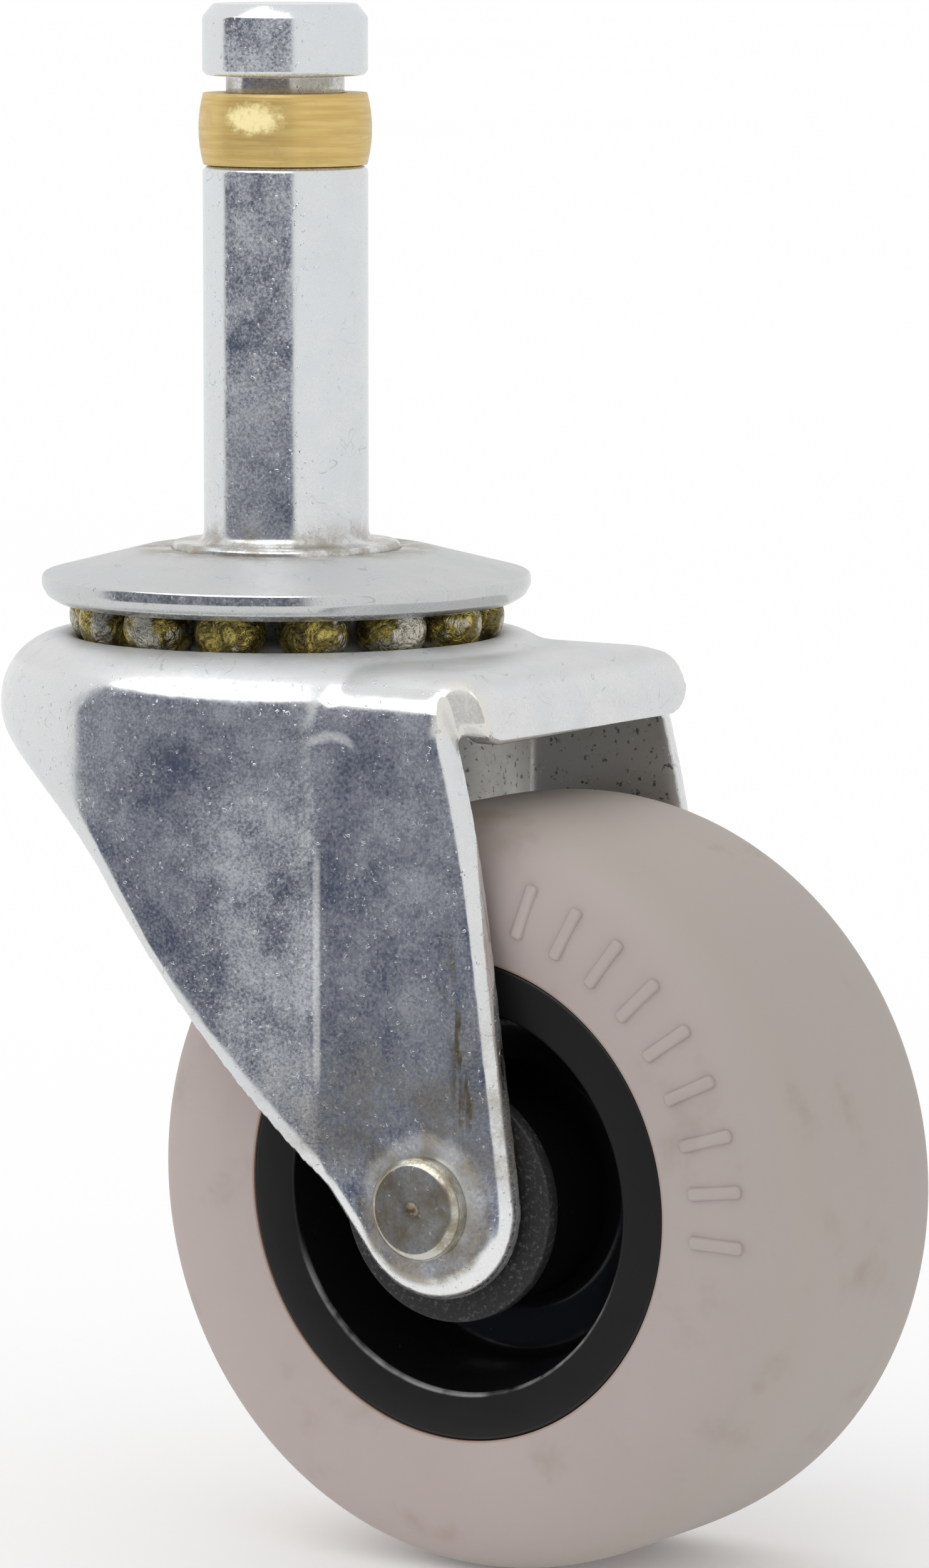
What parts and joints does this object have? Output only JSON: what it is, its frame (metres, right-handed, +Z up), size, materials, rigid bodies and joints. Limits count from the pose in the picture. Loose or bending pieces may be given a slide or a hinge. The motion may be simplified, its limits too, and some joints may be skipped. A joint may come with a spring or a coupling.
{
  "type": "swivel caster",
  "caption": "Swivel caster with a grip-ring stem, a pressed steel yoke on two rows of balls and a solid grey wheel on a riveted axle.",
  "frame": {"origin": "on the stem's axis in the plane of the flat seat, where the chair leg's socket rests", "axes": "+Z up along the stem, +X the way the wheel trails at rest, +Y along the axle"},
  "size_m": [0.0654, 0.0386, 0.1029],
  "materials": {
    "zinc_steel": "bright zinc plate with rubbed marks",
    "zinc_sheet": "bright zinc plate on pressed sheet, faintly mottled",
    "race_steel": "plated steel with a film of grease",
    "ball_steel": "hardened steel with old brown grease",
    "axle_steel": "plated steel with riveted ends",
    "ring_brass": "rubbed brass",
    "grey_tyre": "matt warm grey moulded tread",
    "black_core": "black moulding, glossy in the dish",
    "bushing_metal": "dark grey, fine-grained and matt"
  },
  "bodies": {
    "stem": {"stem": "zinc_steel", "upper_race": "zinc_steel", "lower_race": "race_steel", "retaining_washer": "race_steel"},
    "ring": {"grip_ring": "ring_brass"},
    "upper_balls": {"upper_ball_1": "ball_steel", "upper_ball_2": "ball_steel", "upper_ball_3": "ball_steel", "upper_ball_4": "ball_steel", "upper_ball_5": "ball_steel", "upper_ball_6": "ball_steel", "upper_ball_7": "ball_steel", "upper_ball_8": "ball_steel", "upper_ball_9": "ball_steel", "upper_ball_10": "ball_steel", "upper_ball_11": "ball_steel", "upper_ball_12": "ball_steel", "upper_ball_13": "ball_steel", "upper_ball_14": "ball_steel"},
    "lower_balls": {"lower_ball_1": "ball_steel", "lower_ball_2": "ball_steel", "lower_ball_3": "ball_steel", "lower_ball_4": "ball_steel", "lower_ball_5": "ball_steel", "lower_ball_6": "ball_steel", "lower_ball_7": "ball_steel", "lower_ball_8": "ball_steel", "lower_ball_9": "ball_steel", "lower_ball_10": "ball_steel", "lower_ball_11": "ball_steel", "lower_ball_12": "ball_steel", "lower_ball_13": "ball_steel", "lower_ball_14": "ball_steel"},
    "fork": {"yoke": "zinc_sheet", "axle": "axle_steel"},
    "wheel": {"tyre": "grey_tyre", "hub": "black_core", "bushing_left": "bushing_metal", "bushing_right": "bushing_metal"}
  },
  "joints": [
    {"name": "swivel", "type": "hinge", "parent": "stem", "child": "fork", "pos_m": [0, 0, 0], "axis": [0, 0, 1], "continuous": true},
    {"name": "wheel_spin", "type": "hinge", "parent": "fork", "child": "wheel", "pos_m": [0.0207, 0, -0.041], "axis": [0, 1, 0], "continuous": true},
    {"name": "ring_float", "type": "slide", "parent": "stem", "child": "ring", "axis": [0, 0, 1], "range_m": [0, 0.0011]},
    {"name": "upper_row_roll", "type": "hinge", "parent": "stem", "child": "upper_balls", "pos_m": [0, 0, 0], "axis": [0, 0, 1], "continuous": true},
    {"name": "lower_row_roll", "type": "hinge", "parent": "stem", "child": "lower_balls", "pos_m": [0, 0, 0], "axis": [0, 0, 1], "continuous": true}
  ],
  "couplings": [
    {"joint": "upper_row_roll", "follows": "swivel", "ratio": 0.5},
    {"joint": "lower_row_roll", "follows": "swivel", "ratio": 0.5}
  ]
}
